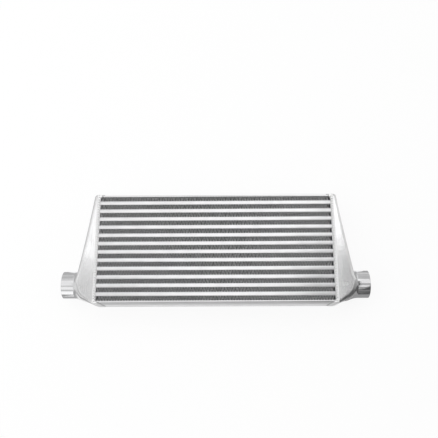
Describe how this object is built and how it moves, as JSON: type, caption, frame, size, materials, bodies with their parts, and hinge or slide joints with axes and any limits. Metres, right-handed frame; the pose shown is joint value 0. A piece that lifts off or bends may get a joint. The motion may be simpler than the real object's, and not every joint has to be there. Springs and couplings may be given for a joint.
{
  "type": "intercooler",
  "caption": "Bar-and-plate air-to-air intercooler: a finned aluminium core between two tapered cast end tanks, each with a round hose neck at its wide end.",
  "frame": {"origin": "middle of the footprint, on the plane of the tanks' rear faces that it lies on", "axes": "+X along the length from the left tank to the right tank, +Y from the edge beside the necks to the far edge, +Z out of the core's front face"},
  "size_m": [0.7098, 0.2588, 0.08],
  "materials": {
    "extruded_bar": "mill finish",
    "fin_foil": "dull rolled foil",
    "clad_sheet": "brazed sheet",
    "cast_tank": "satin casting with machined necks",
    "weld_metal": "rippled weld bead"
  },
  "bodies": {
    "root": {"side_plate_bottom": "extruded_bar", "side_plate_top": "extruded_bar", "end_bars_left": "extruded_bar", "end_bars_right": "extruded_bar", "tank_left": "cast_tank", "tank_right": "cast_tank", "weld_left": "weld_metal", "weld_right": "weld_metal", "ambient_fin_01": "fin_foil", "ambient_fin_02": "fin_foil", "ambient_fin_03": "fin_foil", "ambient_fin_04": "fin_foil", "ambient_fin_05": "fin_foil", "ambient_fin_06": "fin_foil", "ambient_fin_07": "fin_foil", "ambient_fin_08": "fin_foil", "ambient_fin_09": "fin_foil", "ambient_fin_10": "fin_foil", "ambient_fin_11": "fin_foil", "ambient_fin_12": "fin_foil", "ambient_fin_13": "fin_foil", "charge_bars_01": "extruded_bar", "parting_sheets_01": "clad_sheet", "turbulator_01": "fin_foil", "charge_bars_02": "extruded_bar", "parting_sheets_02": "clad_sheet", "turbulator_02": "fin_foil", "charge_bars_03": "extruded_bar", "parting_sheets_03": "clad_sheet", "turbulator_03": "fin_foil", "charge_bars_04": "extruded_bar", "parting_sheets_04": "clad_sheet", "turbulator_04": "fin_foil", "charge_bars_05": "extruded_bar", "parting_sheets_05": "clad_sheet", "turbulator_05": "fin_foil", "charge_bars_06": "extruded_bar", "parting_sheets_06": "clad_sheet", "turbulator_06": "fin_foil", "charge_bars_07": "extruded_bar", "parting_sheets_07": "clad_sheet", "turbulator_07": "fin_foil", "charge_bars_08": "extruded_bar", "parting_sheets_08": "clad_sheet", "turbulator_08": "fin_foil", "charge_bars_09": "extruded_bar", "parting_sheets_09": "clad_sheet", "turbulator_09": "fin_foil", "charge_bars_10": "extruded_bar", "parting_sheets_10": "clad_sheet", "turbulator_10": "fin_foil", "charge_bars_11": "extruded_bar", "parting_sheets_11": "clad_sheet", "turbulator_11": "fin_foil", "charge_bars_12": "extruded_bar", "parting_sheets_12": "clad_sheet", "turbulator_12": "fin_foil"}
  },
  "joints": []
}
